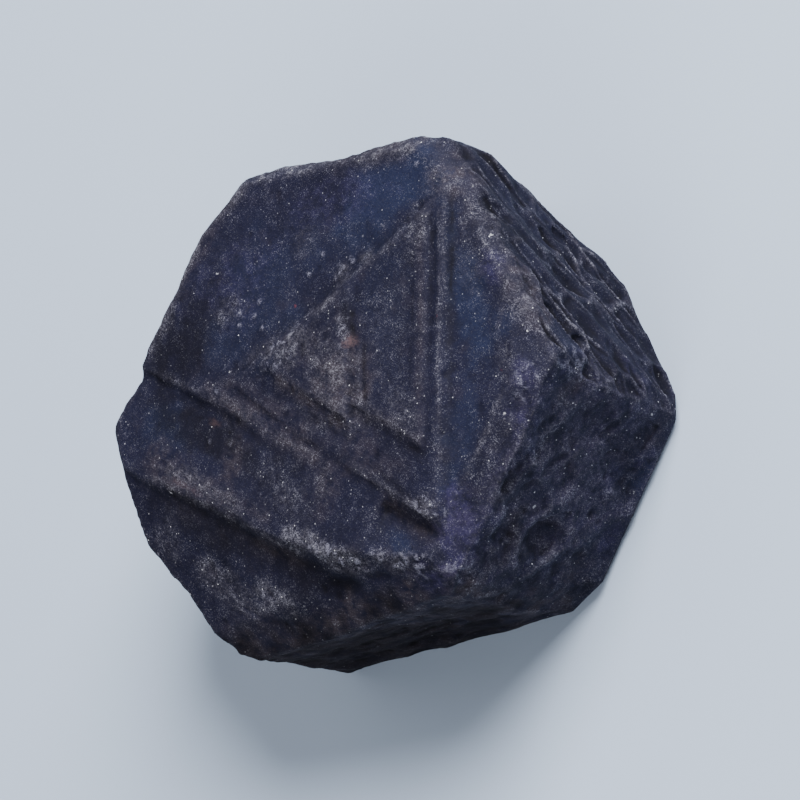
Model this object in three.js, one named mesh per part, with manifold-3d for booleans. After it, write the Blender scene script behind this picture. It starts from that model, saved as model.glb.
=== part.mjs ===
// Rough sapphire: one stubby six-sided corundum crystal, in millimetres, +Z up.
// The crystal's long axis is Z. It lies on its flat back face, with its end face up.
// Directions round the axis are in degrees from +X toward +Y.
import * as THREE from 'three';
import { ConvexGeometry } from 'three/addons/geometries/ConvexGeometry.js';
import { mergeVertices } from 'three/addons/utils/BufferGeometryUtils.js';
import Module from 'manifold-3d';

const wasm = await Module();
wasm.setup();

// ---- Driving dimensions ----

const thickness = 26; // back face to the highest triangle on the end face
const endFaceHeight = 24.8; // the broad terrace that the raised triangles stand on
const blankSize = 90; // the blank that the faces are cut from

// The triangles on the end face have their sides square to these three directions.
const triangleDirections = [0, 120, 240];

// The side faces: the direction each one looks in, how far out it stands at the height of
// the highest triangle, how many degrees it looks up (below zero: it leans in downward), and
// the height of its worn upper rim.
const sideFaces = {
  scalloped: { direction: 30, reach: 29, up: -4.3, rim: 22.4 },
  worn: { direction: 92.4, reach: 27.1, up: -6, rim: 23.6 },
  far: { direction: 147, reach: 27.2, up: -5, rim: 24 },
  left: { direction: 197, reach: 31.1, up: -2, rim: 22.6 },
  lowerLeft: { direction: 221, reach: 29.9, up: -0.5, rim: 17.8 },
  lower: { direction: 278, reach: 25.3, up: -3, rim: 18.6 },
  hollowed: { direction: 330, reach: 26.8, up: 2, rim: 22.2 },
};

// Narrow faces where growth or wear has taken off the corners between the side faces.
const cornerFaces = [
  { direction: 63, reach: 31.4, up: -5 },
  { direction: 50, reach: 33.5, up: -16.9 },
  { direction: 128, reach: 28.3, up: -4 },
  { direction: 171, reach: 32.2, up: -3 },
  { direction: 2, reach: 31.6, up: -2 },
  { direction: 305, reach: 28.4, up: -2 },
  { direction: 250, reach: 30.2, up: -1 },
];

// Worn slopes along the rim of the end face. Each one starts at a reach and a height.
const rimSlopes = [
  { direction: 30, reach: 27, height: 23.8, up: 48 },
  { direction: 66, reach: 28.6, height: 24.7, up: 50 },
  { direction: 92.4, reach: 25.2, height: 24.8, up: 52 },
  { direction: 128, reach: 26.6, height: 24.8, up: 50 },
  { direction: 147, reach: 25.6, height: 24.8, up: 55 },
  { direction: 196, reach: 30.3, height: 23.4, up: 50 },
  { direction: 268, reach: 19.2, height: 23.2, up: 52 },
  { direction: 330, reach: 24.2, height: 23.6, up: 58 },
  { direction: 2, reach: 27.6, height: 23.4, up: 64 },
  { direction: 190, reach: 15, height: 24.8, up: 86.3 },
];

// Raised triangles, each given by how far out its three sides stand, and its height.
const raisedTriangles = [
  { sides: [18.5, 8.4, 4], top: 25.1 },
  { sides: [16.1, 7.8, -1.9], top: 25.5 },
  { sides: [5.6, 7.1, -0.2], top: thickness },
];

// Ledges: past each line the end face drops down a wall to a floor. The floor falls away at a
// slope, and it tilts along the ledge, which makes the ledge lower toward one end.
const ledges = [
  { direction: 0, reach: 18.7, floor: 24.2, slope: 3.5, tilt: 0, wall: 58 },
  { direction: 244, reach: 6.6, floor: 24.68, slope: 0, tilt: 2.2, wall: 50 },
  { direction: 245.5, reach: 17.2, floor: 22.8, slope: 17, tilt: -1.5, wall: 48 },
];

// A recess under the lower corner of the triangles. Its wall stands along a line, and from
// the wall's foot the floor rises again, farther out.
const recess = {
  direction: 245.5,
  along: [14.5, 24],
  mouth: 6.4,
  foot: { reach: 7.7, height: 23.6 },
  far: { reach: 13.5, height: 24.8 },
};

const wallSteepness = 58; // of the low walls of the triangles
const plateRoot = 2; // how deep plates and ribs are sunk into the terrace below them

// A low rib and a groove along the right side of the triangles, as [from, to] in X and in Y.
const rib = { x: [17.5, 18], y: [-7, 17.5], top: 25.3 };
const groove = { x: [16.6, 17.2], y: [3, 16], floor: 25 };

// Hollows that cover a side face and meet in low ridges. Each pattern gives the size of a
// hollow, how far its long axis slants up the face, and the steps between hollows.
const scallops = { length: 7.6, width: 3.2, depth: 0.8, slant: 38, rowStep: 2.8, alongStep: 5.6 };
const wideScallops = { length: 10.6, width: 5.9, depth: 1, slant: 46, rowStep: 5.2, alongStep: 9.6 };
const faintScallops = { length: 9.5, width: 6.5, depth: 0.45, slant: 20, rowStep: 5.6, alongStep: 9 };
const dishes = { length: 8.8, width: 7, depth: 0.55, slant: 68, rowStep: 5.6, alongStep: 6.8 };
const longDishes = { length: 11, width: 4.8, depth: 0.6, slant: 8, rowStep: 4.8, alongStep: 9 };

// How far each hollow strays from its pattern.
const hollowSpread = {
  firstHeight: 1.8, // of the lowest row
  wander: 0.24, // of a step
  size: [0.66, 1.24], // times the pattern's size
  depth: [0.5, 1.15], // times the pattern's depth
  turn: 16, // degrees either way
};

// Growth steps round a side face: past a height, the face stands a little further in.
const growthSteps = [
  { face: 'far', height: 15.5, inset: 0.3 },
  { face: 'worn', height: 12, inset: 0.35 },
  { face: 'left', height: 13, inset: 0.35 },
  { face: 'lower', height: 12, inset: 0.3 },
];

// Dents, each with its middle, its half size along each axis, and its turn about Z.
const dents = [
  { middle: [1.8, -21.6, 22.6], size: [5.2, 2.4, 1.5], turn: 0 },
  { middle: [8.4, -20.9, 23.4], size: [3.6, 1.6, 1.2], turn: 0 },
];

// Chips round the worn rim: how deep they bite, and where they lie along and above the rim.
const chips = {
  faces: ['scalloped', 'worn', 'far', 'left', 'lowerLeft', 'lower'],
  count: 34,
  radius: [0.9, 2],
  bite: [0.3, 1],
  along: [-13, 13],
  above: [-0.6, 0.9],
  flatness: [0.7, 1.1],
};

const baseBevel = { inset: 1.1, up: -42 };

// Shallow dishes in the back face, which otherwise stays flat to rest on.
const basePits = [
  { x: 14, y: 9, size: [5.5, 4.1, 0.45] },
  { x: -17, y: 8, size: [4.3, 3.2, 0.5] },
  { x: 4, y: -15, size: [5, 3.8, 0.4] },
];

// ---- Helpers ----

const radians = THREE.MathUtils.degToRad;

// A seeded random source, so that the crystal is the same each time it is built.
function randomSource(seed) {
  let state = seed;
  return (low, high) => {
    state = (state * 1664525 + 1013904223) % 4294967296;
    return low + ((high - low) * state) / 4294967296;
  };
}

// A closed three.js geometry as a solid that can be cut and joined.
function solidFrom(geometry) {
  const bare = geometry.clone();
  bare.deleteAttribute('normal');
  bare.deleteAttribute('uv');
  const merged = mergeVertices(bare, 1e-5);
  return new wasm.Manifold(
    new wasm.Mesh({
      numProp: 3,
      vertProperties: new Float32Array(merged.attributes.position.array),
      triVerts: new Uint32Array(merged.index.array),
    }),
  );
}

function geometryFrom(solid) {
  const mesh = solid.getMesh();
  const geometry = new THREE.BufferGeometry();
  geometry.setAttribute('position', new THREE.BufferAttribute(mesh.vertProperties, 3));
  geometry.setIndex(new THREE.BufferAttribute(mesh.triVerts, 1));
  return geometry;
}

const convexSolid = (points) => solidFrom(new ConvexGeometry(points));

// The unit vector that looks in a direction round the axis, and up by some degrees.
function facing(direction, up = 0) {
  const across = Math.cos(radians(up));
  return new THREE.Vector3(
    across * Math.cos(radians(direction)),
    across * Math.sin(radians(direction)),
    Math.sin(radians(up)),
  );
}

const sideways = (direction) => facing(direction + 90);

// The place on a face's line of reach, some way along the face and at a height.
function placeOn(direction, reach, along, height) {
  return facing(direction)
    .multiplyScalar(reach)
    .addScaledVector(sideways(direction), along)
    .setZ(height);
}

// Cuts away all that lies outside a flat face.
function cutFace(solid, { direction, reach, height = thickness, up = 0 }) {
  const normal = facing(direction, up);
  const cutter = new THREE.BoxGeometry(2 * blankSize, 2 * blankSize, blankSize);
  cutter.translate(0, 0, blankSize / 2);
  cutter.applyQuaternion(new THREE.Quaternion().setFromUnitVectors(new THREE.Vector3(0, 0, 1), normal));
  const place = placeOn(direction, reach, 0, height);
  cutter.translate(place.x, place.y, place.z);
  return solid.subtract(solidFrom(cutter));
}

// Where two straight sides meet, each given by its direction and reach.
function meetingPoint(directionA, reachA, directionB, reachB) {
  const a = radians(directionA);
  const b = radians(directionB);
  const spread = Math.sin(b - a);
  return new THREE.Vector2(
    (reachA * Math.sin(b) - reachB * Math.sin(a)) / spread,
    (reachB * Math.cos(a) - reachA * Math.cos(b)) / spread,
  );
}

// ---- The end face ----

// A low plate with three sides and sloping walls, standing on the end face.
function trianglePlate({ sides, top }) {
  const points = [];
  for (const depth of [0, plateRoot]) {
    const spread = depth / Math.tan(radians(wallSteepness));
    triangleDirections.forEach((direction, i) => {
      const next = (i + 1) % triangleDirections.length;
      const corner = meetingPoint(
        direction,
        sides[i] + spread,
        triangleDirections[next],
        sides[next] + spread,
      );
      points.push(new THREE.Vector3(corner.x, corner.y, top - depth));
    });
  }
  return convexSolid(points);
}

// What a ledge takes away: all above a sloping floor, beyond a straight sloping wall.
function beyondLedge({ direction, reach, floor, slope, tilt, wall }) {
  const headroom = 8;
  const wallRun = headroom / Math.tan(radians(wall));
  const fall = blankSize * Math.tan(radians(slope));
  const section = [
    [reach, floor],
    [reach - wallRun, floor + headroom],
    [reach + blankSize, floor + headroom],
    [reach + blankSize, floor - fall],
  ];
  const points = [-blankSize, blankSize].flatMap((along) => {
    const lift = along * Math.tan(radians(tilt));
    return section.map(([out, height]) => placeOn(direction, out, along, height + lift));
  });
  return convexSolid(points);
}

// What the recess takes away: all between its wall, its floor and above.
function recessCut({ direction, along, mouth, foot, far }) {
  const top = thickness + 1;
  const section = [
    [mouth, endFaceHeight],
    [foot.reach, foot.height],
    [far.reach, far.height],
    [far.reach, top],
    [mouth, top],
  ];
  const points = along.flatMap((place) =>
    section.map(([out, height]) => placeOn(direction, out, place, height)),
  );
  return convexSolid(points);
}

// A bar between two heights, over a stretch of X and Y.
function bar({ x, y }, low, high) {
  const geometry = new THREE.BoxGeometry(x[1] - x[0], y[1] - y[0], high - low);
  geometry.translate((x[0] + x[1]) / 2, (y[0] + y[1]) / 2, (low + high) / 2);
  return solidFrom(geometry);
}

// ---- Hollows in the side faces ----

// A smooth hollow cut into a face, with its long axis slanting up the face.
function hollowIn(face, along, height, { length, width, depth, slant }) {
  const normal = facing(face.direction, face.up);
  const level = sideways(face.direction);
  const uphill = new THREE.Vector3().crossVectors(normal, level);
  const longAxis = level
    .clone()
    .multiplyScalar(Math.cos(radians(slant)))
    .addScaledVector(uphill, Math.sin(radians(slant)));
  const shortAxis = new THREE.Vector3().crossVectors(normal, longAxis);
  const roundness = 1.7 * depth; // half height of the ellipsoid that is sunk into the face
  const overshoot = 1.1; // its outline shrinks by this where it crosses the face
  const reachHere = face.reach + (height - thickness) * Math.tan(radians(-face.up));
  const centre = placeOn(face.direction, reachHere, along, height);
  centre.addScaledVector(normal, roundness - depth);
  const ellipsoid = new THREE.IcosahedronGeometry(1, 1);
  ellipsoid.scale((overshoot * length) / 2, (overshoot * width) / 2, roundness);
  ellipsoid.applyMatrix4(new THREE.Matrix4().makeBasis(longAxis, shortAxis, normal));
  ellipsoid.translate(centre.x, centre.y, centre.z);
  return solidFrom(ellipsoid);
}

// Staggered rows of hollows over a whole face, each a little off its place and size.
function hollowsOver(face, span, pattern, random) {
  const cuts = [];
  const { length, width, depth, slant, rowStep, alongStep } = pattern;
  const { firstHeight, wander, turn } = hollowSpread;
  for (let row = 0; firstHeight + row * rowStep < thickness; row += 1) {
    const stagger = (row % 2) * 0.5 * alongStep;
    for (let start = span[0] + stagger; start < span[1]; start += alongStep) {
      const size = random(...hollowSpread.size);
      const along = start + alongStep * random(-wander, wander);
      const height = firstHeight + rowStep * (row + random(-wander, wander));
      cuts.push(
        hollowIn(face, along, height, {
          length: length * size,
          width: width * size,
          depth: depth * random(...hollowSpread.depth),
          slant: slant + random(-turn, turn),
        }),
      );
    }
  }
  return cuts;
}

// What a growth step takes away: a thin layer of the face above the step's height.
function aboveStep({ face, height, inset }) {
  const { direction, reach, up } = sideFaces[face];
  const slab = new THREE.BoxGeometry(blankSize, blankSize, blankSize);
  slab.translate(blankSize / 2, 0, blankSize / 2);
  slab.rotateY(radians(-up));
  slab.rotateZ(radians(direction));
  const reachHere = reach + (height - thickness) * Math.tan(radians(-up));
  const place = placeOn(direction, reachHere - inset, 0, height);
  slab.translate(place.x, place.y, place.z);
  return solidFrom(slab);
}

// ---- Wear ----

// Small bites out of the rim between the end face and the side faces.
function rimChips(random) {
  const cuts = [];
  for (let i = 0; i < chips.count; i += 1) {
    const face = sideFaces[chips.faces[i % chips.faces.length]];
    const radius = random(...chips.radius);
    const height = face.rim + random(...chips.above);
    const out = face.reach + radius - random(...chips.bite);
    const place = placeOn(face.direction, out, random(...chips.along), height);
    const bite = new THREE.IcosahedronGeometry(radius, 1);
    bite.scale(1, 1, random(...chips.flatness));
    bite.rotateZ(random(0, Math.PI));
    bite.translate(place.x, place.y, place.z);
    cuts.push(solidFrom(bite));
  }
  return cuts;
}

// A rounded hollow, given by its middle, its half size along each axis, and its turn.
function dentFrom({ middle, size, turn }) {
  const dent = new THREE.IcosahedronGeometry(1, 1);
  dent.scale(...size);
  dent.rotateZ(radians(turn));
  dent.translate(...middle);
  return solidFrom(dent);
}

const basePitFrom = ({ x, y, size }) => dentFrom({ middle: [x, y, 0], size, turn: 0 });

// ---- The crystal ----

function buildCrystal() {
  const random = randomSource(7);
  const blank = new THREE.BoxGeometry(blankSize, blankSize, endFaceHeight);
  blank.translate(0, 0, endFaceHeight / 2);
  let crystal = solidFrom(blank);

  for (const triangle of raisedTriangles) {
    crystal = crystal.add(trianglePlate(triangle));
  }
  for (const ledge of ledges) {
    crystal = crystal.subtract(beyondLedge(ledge));
  }
  crystal = crystal.add(bar(rib, endFaceHeight - plateRoot, rib.top));
  crystal = crystal.subtract(bar(groove, groove.floor, thickness + plateRoot));
  crystal = crystal.subtract(recessCut(recess));

  const outerFaces = [...Object.values(sideFaces), ...cornerFaces, ...rimSlopes];
  for (const face of outerFaces) {
    crystal = cutFace(crystal, face);
  }
  for (const { direction, reach, up } of [...Object.values(sideFaces), ...cornerFaces]) {
    const reachAtBase = reach - thickness * Math.tan(radians(-up));
    const edge = reachAtBase - baseBevel.inset;
    crystal = cutFace(crystal, { direction, reach: edge, height: 0, up: baseBevel.up });
  }

  const cuts = [
    ...growthSteps.map(aboveStep),
    ...hollowsOver(sideFaces.scalloped, [-15, 13], scallops, random),
    ...hollowsOver(sideFaces.hollowed, [-9, 17], dishes, random),
    ...hollowsOver(sideFaces.lower, [-16, 14], longDishes, random),
    ...hollowsOver(sideFaces.worn, [-15, 13], wideScallops, random),
    ...hollowsOver(sideFaces.far, [-10, 16], wideScallops, random),
    ...hollowsOver(sideFaces.left, [-9, 9], faintScallops, random),
    ...hollowsOver(sideFaces.lowerLeft, [-7, 8], faintScallops, random),
    ...rimChips(random),
    ...dents.map(dentFrom),
    ...basePits.map(basePitFrom),
  ];
  for (const cut of cuts) {
    crystal = crystal.subtract(cut);
  }
  return crystal;
}

// The origin is at the middle of the crystal's width and depth, on the back face.
function stoodOnOrigin(geometry) {
  geometry.computeBoundingBox();
  const { min, max } = geometry.boundingBox;
  geometry.translate(-(min.x + max.x) / 2, -(min.y + max.y) / 2, -min.z);
  return geometry;
}

const sapphire = new THREE.MeshStandardMaterial({
  color: 0x23264a,
  roughness: 0.55,
  metalness: 0,
  flatShading: true,
});

const crystal = new THREE.Mesh(stoodOnOrigin(geometryFrom(buildCrystal())), sapphire);
crystal.name = 'crystal';

const roughSapphire = new THREE.Group();
roughSapphire.name = 'rough_sapphire';
roughSapphire.add(crystal);

export default roughSapphire;
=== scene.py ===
import itertools
import math
from types import SimpleNamespace
import bpy
import numpy as np
from mathutils import Matrix, Vector
from mathutils.kdtree import KDTree


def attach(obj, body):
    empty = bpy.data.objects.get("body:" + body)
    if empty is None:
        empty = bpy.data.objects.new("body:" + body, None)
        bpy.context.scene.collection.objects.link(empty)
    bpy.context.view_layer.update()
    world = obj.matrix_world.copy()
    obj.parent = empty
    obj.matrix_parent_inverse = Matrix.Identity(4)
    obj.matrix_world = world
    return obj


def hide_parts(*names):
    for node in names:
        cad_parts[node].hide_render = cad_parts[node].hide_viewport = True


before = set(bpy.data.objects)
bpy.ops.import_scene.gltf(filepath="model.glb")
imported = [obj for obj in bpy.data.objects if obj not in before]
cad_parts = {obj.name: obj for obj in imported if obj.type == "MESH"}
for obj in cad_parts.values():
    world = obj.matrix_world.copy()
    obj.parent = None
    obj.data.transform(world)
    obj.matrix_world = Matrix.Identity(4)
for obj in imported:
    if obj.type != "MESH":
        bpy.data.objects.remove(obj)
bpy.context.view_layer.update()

mm = 0.001  # lengths and places below are in millimetres, and the scene is in metres

viewpoint = {
    "aim": (9.38, -0.91, 21.03),
    "direction": (0.659, -0.188, 0.729),  # from the stone toward the camera
    "imageUp": (0.103, 0.982, 0.159),
    "distance": 420,
    "viewWidth": 84.8,  # at the aim point
    "sensorWidth": 36,
}


def aimedRotation(direction, imageUp):
    # turns a camera or light so that it looks back along the direction
    back = Vector(direction).normalized()
    up = Vector(imageUp)
    up = (up - back * up.dot(back)).normalized()
    return Matrix((up.cross(back), up, back)).transposed().to_quaternion()


def addCamera():
    lens = bpy.data.cameras.new("photoCamera")
    lens.sensor_width = viewpoint["sensorWidth"]
    lens.lens = viewpoint["sensorWidth"] * viewpoint["distance"] / viewpoint["viewWidth"]
    lens.clip_start = 10 * mm
    camera = bpy.data.objects.new("photoCamera", lens)
    bpy.context.scene.collection.objects.link(camera)
    direction = Vector(viewpoint["direction"]).normalized()
    camera.location = (Vector(viewpoint["aim"]) + direction * viewpoint["distance"]) * mm
    camera.rotation_mode = "QUATERNION"
    camera.rotation_quaternion = aimedRotation(direction, viewpoint["imageUp"])
    bpy.context.scene.camera = camera
    print("camera placed")


class Wire:
    # one output socket, so that shader maths reads as plain sums
    def __init__(self, sheet, socket):
        self.sheet = sheet
        self.socket = socket

    def maths(self, operation, first, second):
        return self.sheet.add("ShaderNodeMath", {"operation": operation}, {0: first, 1: second})

    def __add__(self, other):
        return self.maths("ADD", self, other)

    def __radd__(self, other):
        return self.maths("ADD", other, self)

    def __sub__(self, other):
        return self.maths("SUBTRACT", self, other)

    def __rsub__(self, other):
        return self.maths("SUBTRACT", other, self)

    def __mul__(self, other):
        return self.maths("MULTIPLY", self, other)

    def __rmul__(self, other):
        return self.maths("MULTIPLY", other, self)

    def clamped(self):
        settings = {"operation": "ADD", "use_clamp": True}
        return self.sheet.add("ShaderNodeMath", settings, {0: self, 1: 0.0})

    def eased(self, low, high):
        # 0 below low, 1 above high, and smooth between them
        settings = {"interpolation_type": "SMOOTHSTEP"}
        return self.sheet.add("ShaderNodeMapRange", settings, {0: self, 1: low, 2: high})


class MaterialSheet:
    def __init__(self, name):
        self.material = bpy.data.materials.new(name)
        self.material.use_nodes = True
        self.nodes = self.material.node_tree.nodes
        self.links = self.material.node_tree.links
        self.shader = self.nodes["Principled BSDF"]

    def add(self, kind, settings=None, sockets=None, output=0):
        # one node: its settings first, then the value or wire of each socket
        node = self.nodes.new(kind)
        for name, value in (settings or {}).items():
            setattr(node, name, value)
        for key, value in (sockets or {}).items():
            self.feed(node.inputs[key], value)
        return Wire(self, node.outputs[output])

    def feed(self, socket, value):
        if isinstance(value, Wire):
            self.links.new(value.socket, socket)
        else:
            socket.default_value = value

    def set(self, sockets):
        for name, value in sockets.items():
            self.feed(self.shader.inputs[name], value)

    def blend(self, factor, first, second):
        sockets = {0: factor, 6: first, 7: second}
        return self.add("ShaderNodeMix", {"data_type": "RGBA"}, sockets, output=2)

    def places(self):
        # object coordinates in millimetres
        coords = self.add("ShaderNodeTexCoord", output="Object")
        return self.add("ShaderNodeVectorMath", {"operation": "SCALE"}, {0: coords, "Scale": 1 / mm})

    def noise(self, places, size, detail=3, roughness=0.55):
        sockets = {"Vector": places, "Scale": 1 / size, "Detail": detail, "Roughness": roughness}
        return self.add("ShaderNodeTexNoise", {}, sockets)

    def streaks(self, places, size, length, turn):
        # noise drawn out into streaks that lie level, turned round the vertical
        settings = {"rotation_type": "Z_AXIS"}
        turned = self.add("ShaderNodeVectorRotate", settings, {"Vector": places, "Angle": -turn})
        sockets = {0: turned, 1: (1 / length, 1, 1)}
        drawn = self.add("ShaderNodeVectorMath", {"operation": "MULTIPLY"}, sockets)
        return self.noise(drawn, size, detail=3, roughness=0.6)

    def attribute(self, name):
        return self.add("ShaderNodeAttribute", {"attribute_name": name}, output="Fac")


def colour(red, green, blue):
    return (red, green, blue, 1.0)


floorLook = {
    "size": 6000,
    "gap": 0.05,  # below the stone's flat base
    "colour": colour(0.385, 0.465, 0.595),
    "roughness": 0.9,
}


def addFloor():
    bpy.ops.object.select_all(action="DESELECT")
    bpy.ops.mesh.primitive_plane_add(size=floorLook["size"] * mm, location=(0, 0, -floorLook["gap"] * mm))
    floor = bpy.context.object
    floor.name = "floor"
    sheet = MaterialSheet("paleFloor")
    sheet.set({"Base Color": floorLook["colour"], "Roughness": floorLook["roughness"]})
    floor.data.materials.append(sheet.material)


# soft studio lights, each with the direction it stands in, seen from the stone
softLights = {
    "keyLight": {"direction": (0.75, 1.0, 1.0), "distance": 900, "size": 600, "watts": 28.0},
    "skyLight": {"direction": (-0.8, 0.5, 1.2), "distance": 1000, "size": 900, "watts": 3.0},
    "fillLight": {"direction": (0.1, -1.0, 0.7), "distance": 900, "size": 700, "watts": 5.0},
}
roomLight = {"colour": colour(0.88, 0.93, 1.0), "strength": 0.15}


def addLights():
    for name, look in softLights.items():
        lamp = bpy.data.lights.new(name, "AREA")
        lamp.shape = "DISK"
        lamp.size = look["size"] * mm
        lamp.energy = look["watts"]
        light = bpy.data.objects.new(name, lamp)
        bpy.context.scene.collection.objects.link(light)
        direction = Vector(look["direction"]).normalized()
        light.location = direction * look["distance"] * mm
        light.rotation_mode = "QUATERNION"
        light.rotation_quaternion = aimedRotation(direction, (0, 0, 1))
    world = bpy.data.worlds.new("studio")
    world.use_nodes = True
    bpy.context.scene.world = world
    background = world.node_tree.nodes["Background"]
    background.inputs["Color"].default_value = roomLight["colour"]
    background.inputs["Strength"].default_value = roomLight["strength"]
    print("floor and lights placed")


# what each use of the noise adds to the stone's seed
seedSteps = {
    "soft": 5,
    "waves": 20,
    "crumbs": 26,
    "chips": 30,
    "patches": 40,
    "clumps": 60,
    "lines": 80,
    "cells": 100,
    "hollows": 300,
}

# large odd numbers that mix the corner of a grid and a seed into one value
mixers = {
    "corner": (73856093, 19349663, 83492791),
    "seed": 15485863,
    "scramble": 1274126177,
}


def cornerValue(corner, seed):
    # a repeatable value between -1 and 1 for each corner of a unit grid, from the last 16 bits
    mixed = corner @ np.array(mixers["corner"]) + seed * mixers["seed"]
    mixed = (mixed ^ (mixed >> 13)) * mixers["scramble"]
    mixed = mixed ^ (mixed >> 16)
    return (mixed & 0xFFFF) / 0x7FFF - 1


def eased(part):
    # a share between 0 and 1, made to start and end gently
    return part * part * (3 - 2 * part)


def smoothNoise(places, size, seed):
    cell = places / size
    corner = np.floor(cell).astype(np.int64)
    part = eased(cell - corner)
    total = np.zeros(len(places))
    for step in itertools.product((0, 1), repeat=3):
        share = np.where(step, part, 1 - part).prod(axis=1)
        total += share * cornerValue(corner + np.array(step), seed)
    return total


def addedNoise(places, sizes, reaches, seed):
    # noises of several sizes added up, each with a reach of its own
    noises = []
    for number, (size, reach) in enumerate(zip(sizes, reaches)):
        noises.append(reach * smoothNoise(places, size, seed + number))
    return sum(noises)


def easedStep(values, low, high):
    # 0 below low, 1 above high, and smooth between them
    return eased(np.clip((values - low) / (high - low), 0, 1))


def outward(direction):
    # the level direction at this many degrees from +X
    turn = math.radians(direction)
    return np.array([math.cos(turn), math.sin(turn), 0.0])


def readValues(items, name, width, kind=float):
    values = np.empty(len(items) * width, kind)
    items.foreach_get(name, values)
    return values.reshape(-1, width)


def readPlaces(mesh):
    return readValues(mesh.vertices, "co", 3) / mm


def readNormals(mesh):
    return readValues(mesh.vertices, "normal", 3)


def readEdges(mesh):
    # the two points of each edge
    return readValues(mesh.edges, "vertices", 2, np.int64)


def writePlaces(mesh, places):
    mesh.vertices.foreach_set("co", (places * mm).ravel())
    mesh.update()


def smoothed(values, edges, rounds):
    # each value drawn halfway to the mean of its neighbours, some number of times
    count = len(values)
    ends = np.concatenate([edges[:, 0], edges[:, 1]])
    others = np.concatenate([edges[:, 1], edges[:, 0]])
    neighbours = np.bincount(ends, minlength=count).clip(1)
    result = values.copy()
    for _ in range(rounds):
        for axis in range(values.shape[1]):
            total = np.bincount(ends, weights=result[others, axis], minlength=count)
            result[:, axis] = 0.5 * result[:, axis] + 0.5 * total / neighbours
    return result


def standsOut(places, normals, edges, rounds):
    # how far each point stands out from its smoothed surroundings
    return ((places - smoothed(places, edges, rounds)) * normals).sum(axis=1)


broadRounds = 12  # rounds of smoothing that leave only the way a whole face looks


def broadlySmoothed(normals, edges):
    broadNormals = smoothed(normals, edges, broadRounds)
    return broadNormals / np.linalg.norm(broadNormals, axis=1)[:, None]


def onSide(broadNormals, facing, fade):
    # 1 on the side face that looks this way, fading to 0 round its edges
    return easedStep(broadNormals @ outward(facing), *fade)


# the ragged outline that every patch gets, and where a patch starts and ends to fade, in shares
# of its half size
patchEdge = {
    "raggedSizes": (3.0, 1.1),
    "raggedReaches": (0.45, 0.35),
    "fade": (0.35, 1.3),
}


def patchValue(places, rows, seed):
    # the strongest patch at each point, with a ragged outline
    best = np.zeros(len(places))
    ragged = addedNoise(places, patchEdge["raggedSizes"], patchEdge["raggedReaches"], seed)
    for patch in rows:
        local = places - np.array(patch["at"])
        turn = math.radians(patch.get("turn", 0))
        x = local[:, 0] * math.cos(turn) + local[:, 1] * math.sin(turn)
        y = -local[:, 0] * math.sin(turn) + local[:, 1] * math.cos(turn)
        width, depth, height = patch["size"]
        distance = np.sqrt((x / width) ** 2 + (y / depth) ** 2 + (local[:, 2] / height) ** 2)
        share = 1 - easedStep(distance + ragged, *patchEdge["fade"])
        best = np.maximum(best, patch["strength"] * share)
    return best


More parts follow.
